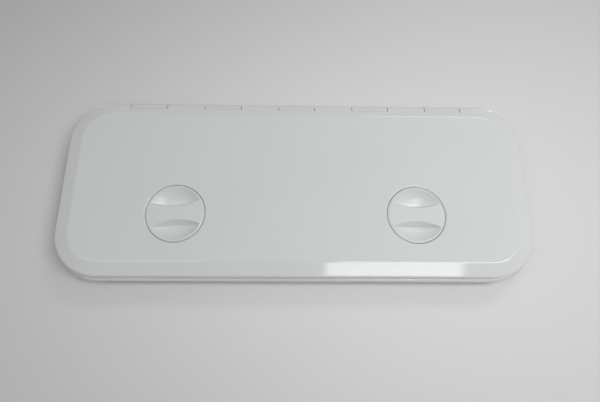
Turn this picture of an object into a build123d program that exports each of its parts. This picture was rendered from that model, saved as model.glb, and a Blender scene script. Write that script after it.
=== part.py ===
from build123d import *

import os
from math import cos, radians, sin, tan

# A hinged access hatch for a boat's deck or locker, in millimetres. The origin is the centre of the hatch
# on the deck's surface, which is the plane of the flange's underside. +X runs along the hatch, +Y points
# to the hinge and +Z out of the deck. The hatch is shut, and both latches are turned to let the lid go.
# A bare 1 or 0.5 on a solid's end runs it into its neighbour, or a cut past the face that it goes through.

# Outline, flange and coaming
length, width, corner_r = 607.0, 243.0, 60.0
flange_t, flange_round = 4.0, 3.5
coaming_outset, coaming_wall = 31.0, 3.0
coaming_depth, lip_height, coaming_round = 20.0, 12.3, 0.9
screw_hole_r, screw_head_r, screw_inset = 2.25, 4.5, 16.0
side_screws_x = (-235.0, -150.0, -50.0, 50.0, 150.0, 235.0)
end_screw_y = 38.0
gusset_reach, gusset_top, gusset_t = 8.0, 9.0, 2.0
gusset_x = (-200.0, -100.0, 0.0, 100.0, 200.0)

# Hinge
barrel_r, barrel_gap, barrel_inset = 5.0, 1.35, 0.05
rod_r, rod_press, rod_play, rod_half, rod_chamfer = 2.0, 0.02, 0.08, 258.0, 0.4
plug_gap, plug_inset = 0.5, 0.3
knuckle_gap, hinge_pitch, frame_knuckle_len, frame_knuckle_count = 1.0, 100.0, 48.0, 5
cheek_r, notch_gap = 7.6, 0.5

# Lid
lid_inset, skin = 3.5, 3.0
bevel_w, bevel_deg = 18.0, 15.0
rim_gap, rim_round, plateau_round = 1.0, 3.0, 5.0
seal_w, seal_play, seal_clear, seal_round = 7.0, 0.1, 0.35, 1.2
seal_rib_t, seal_inner_rib_h, seal_outer_rib_h = 2.0, 6.0, 4.6
rib_t, rib_h, rib_pitch_x = 2.0, 5.0, 50.0
rib_rows_y = (-66.0, -22.0, 22.0, 62.0)

# Latches: the well in the lid, the knob, the dog under it, and what joins them
latch_x, latch_y = 152.2, -39.0
latch_turn = {"left": 4.5, "right": -1.0}
released_deg, locked_deg = 5.0, -90.0
knob_r, knob_play, knob_skin = 36.9, 0.4, 2.4
well_wall, well_floor_z, well_floor_t, well_mouth_round, well_foot_round = 2.8, 2.0, 2.4, 2.0, 2.0
boss_r, boss_bottom, web_count, web_t, web_drop, web_inset = 9.6, -2.0, 6, 2.0, 2.4, 3.0
stop_inner_r, stop_outer_r, stop_half_deg, stop_slack_deg, stop_bottom = 10.2, 13.2, 6.0, 0.5, -6.0
dish_r, dish_depth, knob_edge_round, bar_edge_round = 34.6, 11.5, 2.2, 0.6
bar_waist, bar_end, bar_end_x, bar_draft = 17.0, 35.0, 34.0, 28.0
spindle_r, spindle_play, pilot_top = 6.0, 0.08, 1.0
spindle_square, square_play, square_short = 8.0, 0.04, 0.3
ring_section, groove_z, groove_end_play, groove_gap, ring_gap = 1.56, 2.4, 0.15, 0.06, 0.04
spring_t, spring_room, spring_r, spring_bore_play, spring_top_gap = 0.6, 1.5, 9.2, 0.15, 0.05
strike_len, strike_reach, strike_t, strike_top, strike_lead = 32.0, 8.0, 6.0, -1.0, 1.5
dog_reach, dog_root_w, dog_tip_w, dog_t, dog_hub_r, dog_play = 45.0, 24.0, 15.0, 5.0, 13.2, 0.8
finger_half_deg, finger_top, dog_edge_round = 8.0, -4.0, 1.0
washer_r, washer_t, washer_play = 7.0, 1.0, 0.25
recess_len, recess_w, recess_depth = 5.0, 1.1, 1.7
screw_r, screw_head_h, dog_screw_head_r, screw_head_round, screw_point = 2.5, 2.9, 4.75, 1.1, 0.5

# Heights and places worked out from the sizes above
slope = tan(radians(bevel_deg))
coaming_inset = coaming_outset + coaming_wall
hinge_y, hinge_z = width / 2 - lid_inset - barrel_inset - barrel_r, flange_t + barrel_gap + barrel_r
lid_top = hinge_z + barrel_r / cos(radians(bevel_deg)) + (bevel_w - barrel_r) * slope
lid_under, rim_top, rim_bottom = lid_top - skin, lid_top - bevel_w * slope, flange_t + rim_gap
seal_in = coaming_inset - coaming_wall / 2 + seal_w / 2
seal_out = seal_in - seal_w
seal_bottom = lip_height + seal_clear
well_r = knob_r + knob_play
knob_bottom = well_floor_z + well_floor_t + knob_play
dog_top = strike_top - strike_t - dog_play
dog_bottom = dog_top - dog_t
hub_top = boss_bottom - spring_room
dish_ball_r = (dish_r**2 + dish_depth**2) / (2 * dish_depth)
bar_rise = (bar_end - bar_waist) / 2
bar_arc_r = (bar_end_x**2 + bar_rise**2) / (2 * bar_rise)
far = 400.0


def outline(inset, z):
    """The hatch's rounded outline, moved in by inset, at one height."""
    return Pos(0, 0, z) * RectangleRounded(length - 2 * inset, width - 2 * inset, corner_r - inset)


def slab(inset, low, high):
    """A plate of that outline between two heights."""
    return extrude(outline(inset, low), high - low)


def band(outer_inset, inner_inset, low, high):
    """An upright wall that follows the outline."""
    return slab(outer_inset, low, high) - slab(inner_inset, low - 1, high + 1)


def block(x_low, x_high, y_low, y_high, z_low, z_high):
    """A box between stated corners."""
    box = Box(x_high - x_low, y_high - y_low, z_high - z_low, align=(Align.MIN,) * 3)
    return Pos(x_low, y_low, z_low) * box


def post(radius, low, high, top_radius=None):
    """A cylinder on the Z axis between two heights, or a cone if its top radius is given."""
    align = (Align.CENTER, Align.CENTER, Align.MIN)
    if top_radius is None:
        return Pos(0, 0, low) * Cylinder(radius, high - low, align=align)
    return Pos(0, 0, low) * Cone(radius, top_radius, high - low, align=align)


def tube(outer_r, inner_r, low, high):
    """A ring on the Z axis between two heights."""
    return post(outer_r, low, high) - post(inner_r, low - 1, high + 1)


def sector(outer_r, inner_r, middle_deg, half_deg, low, high):
    """The part of a ring on the Z axis that lies within half_deg of one direction."""
    reach = 2 * outer_r
    a, b = radians(middle_deg - half_deg), radians(middle_deg + half_deg)
    corners = [(0, 0), (reach * cos(a), reach * sin(a)), (reach * cos(b), reach * sin(b))]
    wedge = extrude(Pos(0, 0, low) * make_face(Polyline(*corners, close=True)), high - low)
    return tube(outer_r, inner_r, low, high) & wedge


def hinge_bar(radius, x_low, x_high):
    """A cylinder along the hinge's axis."""
    return Pos((x_low + x_high) / 2, hinge_y, hinge_z) * Rot(0, 90, 0) * Cylinder(radius, x_high - x_low)


def edges_at(shape, z):
    """The edges that lie level at one height."""
    boxes = [(edge, edge.bounding_box()) for edge in shape.edges()]
    return [edge for edge, box in boxes if max(abs(box.min.Z - z), abs(box.max.Z - z)) < 0.01]


def frame_knuckle_centres():
    first = -(frame_knuckle_count - 1) / 2 * hinge_pitch
    return [first + i * hinge_pitch for i in range(frame_knuckle_count)]


def screw_places():
    """The centres of the fixing holes: six along each long side and two at each end."""
    side_y, end_x = width / 2 - screw_inset, length / 2 - screw_inset
    sides = [(x, side * side_y) for x in side_screws_x for side in (-1, 1)]
    return sides + [(end * end_x, side * end_screw_y) for end in (-1, 1) for side in (-1, 1)]


def screw_hole():
    """One countersunk hole through the flange."""
    sink = post(screw_hole_r, flange_t - screw_head_r + screw_hole_r, flange_t, screw_head_r)
    return post(screw_hole_r, -1, flange_t + 1) + sink


def frame_knuckle(x):
    """One of the frame's hinge knuckles. Its top carries on the lid's bevel, and its front cheek is round
    about the hinge's axis, so that the lid's notch turns round it."""
    low, high = x - frame_knuckle_len / 2, x + frame_knuckle_len / 2
    under_bevel = Pos(0, hinge_y, hinge_z) * Rot(-bevel_deg, 0, 0) * block(low, high, -far, 0, -far, barrel_r)
    cheek = hinge_bar(cheek_r, low, high) & under_bevel & block(low, high, -far, far, 1, far)
    foot = block(low, high, hinge_y - 1, hinge_y + barrel_r, 1, hinge_z)
    return cheek + hinge_bar(barrel_r, low, high) + foot


def strike(x):
    """A ledge inside the coaming that one dog turns under, with a sloped lead-in where the dog arrives."""
    low, half = strike_top - strike_t, strike_len / 2
    lead_in = [(half, low + strike_lead), (half / 2, low)]
    corners = [(-half, strike_top), (half, strike_top), *lead_in, (-half, low)]
    face = make_face(Polyline(*corners, close=True))
    wall_y = coaming_inset - width / 2
    return Pos(x, wall_y + strike_reach, 0) * extrude(Plane.XZ * face, strike_reach + coaming_wall / 2)


def gusset():
    """A small brace from the flange to the lip's outer face, which lies at Y = 0 and faces -Y."""
    corners = [(1, 1), (-gusset_reach, 1), (-gusset_reach, flange_t), (0, gusset_top), (1, gusset_top)]
    face = Plane.YZ * make_face(Polyline(*corners, close=True))
    return Pos(-gusset_t / 2, 0, 0) * extrude(face, gusset_t)


def make_deck_frame():
    """Flange, coaming with its sealing lip, hinge knuckles, strikes and fixing holes, in one moulding."""
    flange = band(0, coaming_outset + 1, 0, flange_t)
    flange = fillet(flange.faces().sort_by(Axis.Z)[-1].outer_wire().edges(), flange_round)
    wall = band(coaming_outset, coaming_inset, -coaming_depth, lip_height)
    wall = fillet(edges_at(wall, lip_height) + edges_at(wall, -coaming_depth), coaming_round)
    frame = flange + wall
    side_y, end_x = width / 2 - coaming_outset, length / 2 - coaming_outset
    braces = [Pos(x, -side_y, 0) * gusset() for x in gusset_x]
    braces += [Pos(x, side_y, 0) * Rot(0, 0, 180) * gusset() for x in gusset_x]
    braces += [Pos(end_x, 0, 0) * Rot(0, 0, 90) * gusset(), Pos(-end_x, 0, 0) * Rot(0, 0, -90) * gusset()]
    for piece in braces + [frame_knuckle(x) for x in frame_knuckle_centres()]:
        frame += piece
    for side in (-1, 1):
        frame += strike(side * latch_x)
    for x, y in screw_places():
        frame -= Pos(x, y, 0) * screw_hole()
    return frame - hinge_bar(rod_r + rod_press, -far, far)


def lid_form(inward):
    """The lid's closed outer form, or that of its hollow, one skin inward."""
    shift = inward / cos(radians(bevel_deg)) - inward
    wall_top = rim_top + inward * slope - inward - shift
    shoulder = lid_inset + bevel_w - shift / slope
    foot = rim_bottom - (1 if inward else 0)
    lower = slab(lid_inset + inward, foot, wall_top)
    ends = [outline(lid_inset + inward, wall_top), outline(shoulder, lid_top - inward)]
    return lower + loft(ends, ruled=True)


def swing_room():
    """The space in which the lid can turn about its hinge and miss the flange."""
    tangent_y = hinge_y + barrel_r * sin(radians(bevel_deg))
    room = block(-far, far, -far, hinge_y, -far, far) + block(-far, far, hinge_y - 1, tangent_y, hinge_z, far)
    return room + hinge_bar(barrel_r, -far, far)


def latch_well():
    """The round well that holds a latch knob, with its bearing boss, webs and the two turning stops."""
    cup = post(well_r + well_wall, well_floor_z, lid_under + 1)
    well = fillet(edges_at(cup, well_floor_z), well_foot_round) + post(boss_r, boss_bottom, well_floor_z + 1)
    web_bottom, web_end = well_floor_z - web_drop, well_r - web_inset
    web = block(boss_r - 1, web_end, -web_t / 2, web_t / 2, web_bottom, well_floor_z + 1)
    for i in range(web_count):
        well += Rot(0, 0, (i + 0.5) * 360 / web_count) * web
    reach = finger_half_deg + stop_half_deg + stop_slack_deg
    for middle in (released_deg + 180 + reach, locked_deg + 180 - reach):
        well += sector(stop_outer_r, stop_inner_r, middle, stop_half_deg, stop_bottom, well_floor_z + 1)
    return well


def lid_ribs():
    """The grid of ribs under the plateau, inside the seal's inner rib."""
    inset = seal_in + seal_rib_t / 2
    low, high = lid_under - rib_h, lid_under + 0.5
    count = int((length / 2 - inset) // rib_pitch_x)
    grid = block(-length / 2, length / 2, rib_rows_y[0] - rib_t / 2, rib_rows_y[0] + rib_t / 2, low, high)
    for y in rib_rows_y[1:]:
        grid += block(-length / 2, length / 2, y - rib_t / 2, y + rib_t / 2, low, high)
    for i in range(-count, count + 1):
        x = i * rib_pitch_x
        grid += block(x - rib_t / 2, x + rib_t / 2, -width / 2, width / 2, low, high)
    return grid & slab(inset, low - 1, high + 1)


def make_lid_panel():
    """The lid's moulding: plateau, bevelled border, rim, knuckles, seal channel, ribs and latch wells."""
    form = lid_form(0)
    form = fillet(edges_at(form, lid_top), plateau_round)
    form = fillet(edges_at(form, rim_top), rim_round)
    lid = form - lid_form(skin)
    lid += band(seal_out - seal_rib_t, seal_out, lid_under - seal_outer_rib_h, lid_under + 0.5)
    lid += band(seal_in, seal_in + seal_rib_t, lid_under - seal_inner_rib_h, lid_under + 0.5)
    lid += lid_ribs()
    for side in (-1, 1):
        lid += Pos(side * latch_x, latch_y, 0) * latch_well()
    for side in (-1, 1):
        hollow = post(well_r, well_floor_z + well_floor_t, far) + post(spindle_r + spindle_play, -far, far)
        lid -= Pos(side * latch_x, latch_y, 0) * hollow
    mouths = [edge for edge in edges_at(lid, lid_top) if edge.bounding_box().size.X < 2 * well_r + 1]
    lid = fillet(mouths, well_mouth_round)
    lid = (lid & swing_room()) + (hinge_bar(barrel_r, -far, far) & slab(lid_inset, -far, far))
    half = frame_knuckle_len / 2 + knuckle_gap
    for x in frame_knuckle_centres():
        lid -= hinge_bar(cheek_r + notch_gap, x - half, x + half)
    return lid - hinge_bar(rod_r + rod_play, -far, far)


def make_lid_seal():
    """The soft seal in the lid's channel, just clear of the frame's lip."""
    seal = band(seal_out + seal_play, seal_in - seal_play, seal_bottom, lid_under)
    return fillet(edges_at(seal, seal_bottom), seal_round)


def make_hinge_rod():
    """The stainless rod through all the knuckles."""
    rod = hinge_bar(rod_r, -rod_half, rod_half)
    return chamfer(rod.edges().filter_by(GeomType.CIRCLE), rod_chamfer)


def make_hinge_plug(side):
    """The plug that closes one end of the rod's bore, flush with the lid's rounded corner."""
    low, high = sorted((side * (rod_half + plug_gap), side * far))
    return hinge_bar(rod_r + rod_play - rod_press, low, high) & slab(lid_inset + plug_inset, -far, far)


def beside_bar(growth):
    """The two spaces beside the knob's grip bar. Their curved sides lean out, so the bar is wider below."""
    lean = tan(radians(bar_draft))
    low, high = knob_bottom - 1, lid_top + 1
    low_r, high_r = bar_arc_r + growth - (lid_top - low) * lean, bar_arc_r + growth + (high - lid_top) * lean
    side_y = bar_waist / 2 + bar_arc_r
    cone = post(low_r, low, high, high_r)
    return Pos(0, side_y, 0) * cone + Pos(0, -side_y, 0) * cone


def make_latch_knob():
    """The latch's knob: a disc with a shallow dish, a waisted grip bar across it, and its spindle below."""
    ball_z = lid_top - dish_depth + dish_ball_r
    knob = fillet(edges_at(post(knob_r, knob_bottom, lid_top), lid_top), knob_edge_round)
    knob -= (Pos(0, 0, ball_z) * Sphere(dish_ball_r)) & beside_bar(0)
    brinks = [edge for edge in edges_at(knob, lid_top) if edge.geom_type == GeomType.CIRCLE]
    knob = fillet([edge for edge in brinks if edge.radius > knob_r], bar_edge_round)
    shell = (Pos(0, 0, ball_z) * Sphere(dish_ball_r + knob_skin)) & beside_bar(knob_skin)
    hollow = tube(knob_r - knob_skin, boss_r, knob_bottom - 1, lid_top - knob_skin) - shell
    knob -= hollow
    knob += post(spindle_r, hub_top, knob_bottom + 1)
    knob += Pos(0, 0, (hub_top + dog_bottom + square_short) / 2) * Box(
        spindle_square, spindle_square, hub_top - dog_bottom - square_short
    )
    groove_h = ring_section + 2 * groove_end_play
    groove_r = spindle_r + spindle_play - ring_section - groove_gap
    knob -= tube(spindle_r + 1, groove_r, groove_z, groove_z + groove_h)
    return knob - post(screw_r + rod_press, dog_bottom - 1, pilot_top)


def make_spindle_seal():
    """The ring seal in the spindle's groove."""
    centre_r = spindle_r + spindle_play - ring_gap - ring_section / 2
    return Pos(0, 0, groove_z + ring_section / 2 + groove_end_play) * Torus(centre_r, ring_section / 2)


def make_spring_washer():
    """The coned spring washer between the lid's boss and the dog, which holds the knob where it is turned."""
    inner_r, top = spindle_r + spring_bore_play, boss_bottom - spring_top_gap
    corners = [
        (inner_r, top - spring_t), (inner_r, top), (inner_r + spring_t / 2, top),
        (spring_r, hub_top + spring_t), (spring_r, hub_top), (spring_r - spring_t / 2, hub_top),
    ]
    return revolve(Plane.XZ * make_face(Polyline(*corners, close=True)), Axis.Z)


def make_latch_dog():
    """The dog on the spindle's square: a hub with a stop finger, and a tapered blade along +X."""
    root, tip, end = dog_root_w / 2, dog_tip_w / 2, dog_reach + 1
    corners = [(0, root), (0, -root), (end, -tip), (end, tip)]
    blade = extrude(Pos(0, 0, dog_bottom) * make_face(Polyline(*corners, close=True)), dog_t)
    dog = (blade & post(dog_reach, dog_bottom - 1, dog_top + 1)) + post(dog_hub_r, dog_bottom, dog_top)
    dog = fillet(edges_at(dog, dog_bottom), dog_edge_round)
    dog += post(boss_r, dog_top - 1, hub_top)
    dog += sector(dog_hub_r, boss_r - 1, 180, finger_half_deg, dog_top - 1, finger_top)
    return dog - Box(spindle_square + square_play, spindle_square + square_play, far)


def make_dog_washer():
    """The plain washer under the dog's screw."""
    return tube(washer_r, screw_r + washer_play, dog_bottom - washer_t, dog_bottom)


def make_dog_screw():
    """The pan-head screw that holds the dog on the spindle, with a cross recess."""
    top = dog_bottom - washer_t
    pan = post(dog_screw_head_r, top - screw_head_h, top)
    head = fillet(edges_at(pan, top - screw_head_h), screw_head_round)
    screw = head + chamfer(edges_at(post(screw_r, top - 1, pilot_top - 1), pilot_top - 1), screw_point)
    recess = Box(recess_len, recess_w, 2 * recess_depth) + Box(recess_w, recess_len, 2 * recess_depth)
    return screw - Pos(0, 0, top - screw_head_h) * recess


def latch_pieces():
    """Each piece of one latch, about its own axis and with the dog along +X."""
    return {
        "latch_knob": make_latch_knob(),
        "spindle_seal": make_spindle_seal(),
        "spring_washer": make_spring_washer(),
        "latch_dog": make_latch_dog(),
        "dog_washer": make_dog_washer(),
        "dog_screw": make_dog_screw(),
    }


def make_parts():
    """Every piece of the hatch in its place, by name."""
    parts = {
        "deck_frame": make_deck_frame(),
        "hinge_rod": make_hinge_rod(),
        "lid_panel": make_lid_panel(),
        "lid_seal": make_lid_seal(),
    }
    pieces = latch_pieces()
    for side, name in ((-1, "left"), (1, "right")):
        parts[f"hinge_plug_{name}"] = make_hinge_plug(side)
        place = Pos(side * latch_x, latch_y, 0) * Rot(0, 0, latch_turn[name])
        for piece, shape in pieces.items():
            parts[f"{piece}_{name}"] = place * shape
    return parts


os.makedirs("parts", exist_ok=True)
for node, solid in make_parts().items():
    export_step(solid, f"parts/{node}.step")
    print(f"{node}: {len(solid.solids())} solid, {solid.volume:.0f} cubic mm")
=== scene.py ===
import math

import bpy
from mathutils import Matrix, Vector


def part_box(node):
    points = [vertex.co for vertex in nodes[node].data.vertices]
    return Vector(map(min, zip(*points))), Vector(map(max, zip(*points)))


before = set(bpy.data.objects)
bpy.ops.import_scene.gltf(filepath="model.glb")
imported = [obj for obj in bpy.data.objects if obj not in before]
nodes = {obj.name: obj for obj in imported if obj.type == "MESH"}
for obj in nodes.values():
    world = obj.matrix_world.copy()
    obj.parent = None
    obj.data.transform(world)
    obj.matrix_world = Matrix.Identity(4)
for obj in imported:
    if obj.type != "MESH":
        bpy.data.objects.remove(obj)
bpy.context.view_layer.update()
print("hatch loaded:", len(nodes), "CAD pieces")


# Shader maths: a wire wraps one socket, so that a mask reads as an expression
class Wire:
    def __init__(self, finish, socket):
        self.finish = finish
        self.socket = socket

    def maths(self, operation, first, second):
        return self.finish.node("ShaderNodeMath", {"operation": operation}, {0: first, 1: second})

    def __add__(self, other):
        return self.maths("ADD", self, other)

    def __radd__(self, other):
        return self.maths("ADD", other, self)

    def __sub__(self, other):
        return self.maths("SUBTRACT", self, other)

    def __rsub__(self, other):
        return self.maths("SUBTRACT", other, self)

    def __mul__(self, other):
        return self.maths("MULTIPLY", self, other)

    def __rmul__(self, other):
        return self.maths("MULTIPLY", other, self)


# A material, and the nodes that feed its shader
class Finish:
    def __init__(self, name, colour, roughness, **constants):
        self.material = bpy.data.materials.new(name)
        self.material.use_nodes = True
        self.material.diffuse_color = (*colour, 1)
        self.tree = self.material.node_tree
        self.shader = self.tree.nodes["Principled BSDF"]
        self.feed("Base Color", (*colour, 1))
        self.feed("Roughness", roughness)
        for socket, value in constants.items():
            self.feed(socket.replace("_", " "), value)

    def node(self, kind, settings=None, sockets=None, out=0):
        made = self.tree.nodes.new(kind)
        for key, value in (settings or {}).items():
            if key == "stops":
                self.setStops(made.color_ramp, value)
            else:
                setattr(made, key, value)
        for key, value in (sockets or {}).items():
            self.plug(made.inputs[key], value)
        return Wire(self, made.outputs[out])

    def setStops(self, ramp, stops):
        while len(ramp.elements) < len(stops):
            ramp.elements.new(0.5)
        for element, (place, shade) in zip(ramp.elements, stops):
            element.position = place
            element.color = (shade, shade, shade, 1)

    def plug(self, socket, value):
        if isinstance(value, Wire):
            self.tree.links.new(value.socket, socket)
        else:
            socket.default_value = value

    def feed(self, socket, value):
        self.plug(self.shader.inputs[socket], value)

    def place(self):
        return self.node("ShaderNodeTexCoord", out="Object")

    def stretched(self, scale, turn=(0, 0, 0)):
        values = {"Vector": self.place(), "Scale": scale, "Rotation": turn}
        return self.node("ShaderNodeMapping", None, values)

    def noise(self, size, detail, place=None):
        values = {"Vector": place or self.place(), "Scale": 1 / size, "Detail": detail}
        return self.node("ShaderNodeTexNoise", None, values)

    def ramp(self, value, *stops):
        return self.node("ShaderNodeValToRGB", {"stops": stops}, {"Fac": value})

    def vector(self, operation, first, second=(0, 0, 0), out=0):
        return self.node("ShaderNodeVectorMath", {"operation": operation}, {0: first, 1: second}, out)

    def mixColours(self, amount, first, second):
        # on a Mix node the two colours are sockets 6 and 7, and their mix is output 2
        values = {0: amount, 6: (*first, 1), 7: (*second, 1)}
        return self.node("ShaderNodeMix", {"data_type": "RGBA"}, values, out=2)

    def bump(self, height, depth, below=None):
        values = {"Height": height, "Distance": depth}
        if below:
            values["Normal"] = below
        return self.node("ShaderNodeBump", None, values)

    # colour drifts between two shades, and wear makes the surface rougher than its least
    def weather(self, look, patches, wear):
        self.feed("Base Color", self.mixColours(patches, look["dark"], look["pale"]))
        self.feed("Roughness", wear * look["roughSpread"] + look["rough"])


# Gloss white plastic for the three mouldings. A noise is given as its size in metres and its detail
mouldedWhite = {
    "lid": {"pale": (0.78, 0.80, 0.79), "dark": (0.74, 0.765, 0.755), "rough": 0.07, "roughSpread": 0.12},
    "frame": {"pale": (0.765, 0.782, 0.77), "dark": (0.73, 0.752, 0.74), "rough": 0.18, "roughSpread": 0.12},
    "knob": {"pale": (0.78, 0.80, 0.79), "dark": (0.75, 0.77, 0.76), "rough": 0.2, "roughSpread": 0.12},
    "specular": 0.5,
    "ior": 1.52,
    "patches": (0.11, 3),
    "orangePeel": (0.009, 1),
    "orangePeelDepth": 0.00002,
    "grain": (0.0007, 2),
    "grainDepth": 0.000004,
    "hairlines": (0.004, 4),
    "hairlineStretch": (1, 22, 22),
    "hairlineTurns": (0.3, 1.9),  # radians
    "hairlineEdge": (0.62, 0.70),
    "hairlineShare": 0.5,
}


# Faint scratches from wiping, all one way
def hairlines(finish, turn):
    along = finish.stretched(mouldedWhite["hairlineStretch"], (0, 0, turn))
    start, end = mouldedWhite["hairlineEdge"]
    return finish.ramp(finish.noise(*mouldedWhite["hairlines"], along), (start, 0), (end, 1))


def mouldedPlastic(part):
    look = mouldedWhite[part]
    finish = Finish(part + "Plastic", look["pale"], look["rough"],
                    Specular_IOR_Level=mouldedWhite["specular"], IOR=mouldedWhite["ior"])
    oneWay, otherWay = (hairlines(finish, turn) for turn in mouldedWhite["hairlineTurns"])
    wipes = (oneWay + otherWay) * mouldedWhite["hairlineShare"]
    finish.weather(look, finish.noise(*mouldedWhite["patches"]), wipes)
    swell = finish.bump(finish.noise(*mouldedWhite["orangePeel"]), mouldedWhite["orangePeelDepth"])
    grain = finish.bump(finish.noise(*mouldedWhite["grain"]), mouldedWhite["grainDepth"], below=swell)
    finish.feed("Normal", grain)
    return finish.material


dogNylon = {
    "pale": (0.66, 0.66, 0.62),
    "dark": (0.58, 0.58, 0.54),
    "rough": 0.36,
    "roughSpread": 0.15,
    "subsurface": 0.05,
    "patches": (0.012, 4),
    "grain": (0.0006, 3),
    "grainDepth": 0.00002,
}


def nylon():
    look = dogNylon
    finish = Finish("dogNylon", look["pale"], look["rough"], Subsurface_Weight=look["subsurface"])
    patches = finish.noise(*look["patches"])
    finish.weather(look, patches, patches)
    finish.feed("Normal", finish.bump(finish.noise(*look["grain"]), look["grainDepth"]))
    return finish.material


steelBar = {
    "pale": (0.66, 0.66, 0.65),
    "dark": (0.55, 0.55, 0.54),
    "rough": 0.22,
    "roughSpread": 0.22,
    "grain": (0.002, 5),
    "grainStretch": (1, 14, 14),
    "grainDepth": 0.000008,
}


def stainlessSteel():
    look = steelBar
    finish = Finish("stainlessSteel", look["pale"], look["rough"], Metallic=1.0)
    grain = finish.noise(*look["grain"], finish.stretched(look["grainStretch"]))
    finish.weather(look, grain, grain)
    finish.feed("Normal", finish.bump(grain, look["grainDepth"]))
    return finish.material


foamedRubber = {
    "pale": (0.045, 0.045, 0.046),
    "dark": (0.018, 0.018, 0.019),
    "rough": 0.55,
    "roughSpread": 0.25,
    "cells": (0.0011, 5),
    "cellDepth": 0.00012,
}


def sealRubber():
    look = foamedRubber
    finish = Finish("sealRubber", look["pale"], look["rough"])
    cells = finish.noise(*look["cells"])
    finish.weather(look, cells, cells)
    finish.feed("Normal", finish.bump(cells, look["cellDepth"]))
    return finish.material


def finishNodes():
    lid, steel, rubber = mouldedPlastic("lid"), stainlessSteel(), sealRubber()
    finishes = {
        "deck_frame": mouldedPlastic("frame"),
        "lid_panel": lid,
        "hinge_plug": lid,
        "latch_knob": mouldedPlastic("knob"),
        "latch_dog": nylon(),
        "hinge_rod": steel,
        "spring_washer": steel,
        "dog_washer": steel,
        "dog_screw": steel,
        "lid_seal": rubber,
        "spindle_seal": rubber,
    }
    for name, node in nodes.items():
        piece = name.removesuffix("_left").removesuffix("_right")
        for slot in node.material_slots:
            slot.material = finishes[piece]


finishNodes()
print("finishes on")


# The table top that the hatch lies on, with a painted pool of light: its colour is paler round the hatch and
# darker away from it, in place of light that falls off
tableTop = {
    "size": 6.0,
    "below": 0.0001,  # under the coaming's lower edge, which the hatch stands on
    "middle": (0.80, 0.80, 0.795),
    "paintedShadeAway": (0.62, 0.62, 0.62),
    "rough": 0.6,
    "paintedLightReach": (0.22, 0.78),  # from the centre along the hatch, where the painted shade starts to darken the table and where it is full
    "squeeze": 1.6,  # how much narrower the painted pool of light is across the hatch
}


def tablePlastic():
    finish = Finish("tableWithPaintedLight", tableTop["middle"], tableTop["rough"])
    squeezed = finish.vector("MULTIPLY", finish.place(), (1, tableTop["squeeze"], 0))
    reach = finish.vector("LENGTH", squeezed, out="Value")
    start, end = tableTop["paintedLightReach"]
    # painted light: the table's colour fades from the painted pale middle to painted shade away from the
    # hatch
    paintedShadeAway = finish.ramp((reach - start) * (1 / (end - start)), (0, 0), (1, 1))
    finish.feed("Base Color", finish.mixColours(paintedShadeAway, tableTop["middle"], tableTop["paintedShadeAway"]))
    return finish.material


def makeFloor():
    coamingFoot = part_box("deck_frame")[0].z
    bpy.ops.mesh.primitive_plane_add(size=tableTop["size"], location=(0, 0, coamingFoot - tableTop["below"]))
    floor = bpy.context.object
    floor.name = "table_top"
    floor.data.materials.append(tablePlastic())


# Light: an even sky, a softbox high over each end, one behind on the right, and a narrow strip lamp
# that the near bevel mirrors. Places and sizes are metres, and powers are watts
studio = {
    "sky": 0.23,
    "lamps": {
        "leftBox": {"centre": (-0.75, -0.14, 1.2), "size": (0.80, 0.42), "power": 2.0},
        "rightBox": {"centre": (0.66, -0.14, 1.2), "size": (0.95, 0.42), "power": 7.9},
        "backBox": {"centre": (0.80, 1.10, 1.25), "size": (0.90, 0.45), "power": 5.8},
        "stripLamp": {"centre": (0.365, -0.493, 1.0), "size": (0.49, 0.10), "power": 0.92},
    },
}


def areaLight(name, look):
    light = bpy.data.lights.new(name, "AREA")
    light.shape = "RECTANGLE"
    light.size, light.size_y = look["size"]
    light.energy = look["power"]
    holder = bpy.data.objects.new(name, light)
    bpy.context.scene.collection.objects.link(holder)
    holder.location = look["centre"]  # a light that isn't turned shines straight down


def makeLight():
    world = bpy.data.worlds.new("studio")
    bpy.context.scene.world = world
    world.use_nodes = True
    background = world.node_tree.nodes["Background"]
    background.inputs["Color"].default_value = (1, 1, 1, 1)
    background.inputs["Strength"].default_value = studio["sky"]
    for name, look in studio["lamps"].items():
        areaLight(name, look)


# The camera looks down from the latch side, a little to the left and slightly rolled
view = {
    "aim": (0.0049, -0.0160, 0.0),
    "azimuth": -4.09,
    "elevation": 72.24,
    "roll": 4.34,
    "distance": 0.590,
    "lens": 26.92,
    "sensor": 36,
    "nearest": 0.01,
}


def makeCamera():
    azimuth, elevation, roll = (math.radians(view[angle]) for angle in ("azimuth", "elevation", "roll"))
    back = Vector((
        math.sin(azimuth) * math.cos(elevation),
        -math.cos(azimuth) * math.cos(elevation),
        math.sin(elevation),
    ))
    right = (-back).cross(Vector((0, 0, 1))).normalized()
    up = right.cross(-back)
    level = Matrix((right, up, back)).transposed()
    turned = Matrix.Rotation(roll, 3, back) @ level
    camera = bpy.data.objects.new("camera", bpy.data.cameras.new("camera"))
    bpy.context.scene.collection.objects.link(camera)
    camera.data.lens = view["lens"]
    camera.data.sensor_width = view["sensor"]
    camera.data.clip_start = view["nearest"]
    camera.matrix_world = Matrix.Translation(Vector(view["aim"]) + back * view["distance"]) @ turned.to_4x4()
    bpy.context.scene.camera = camera


makeFloor()
print("table laid")
makeLight()
makeCamera()
bpy.context.scene.view_settings.view_transform = "Standard"
print("studio ready")
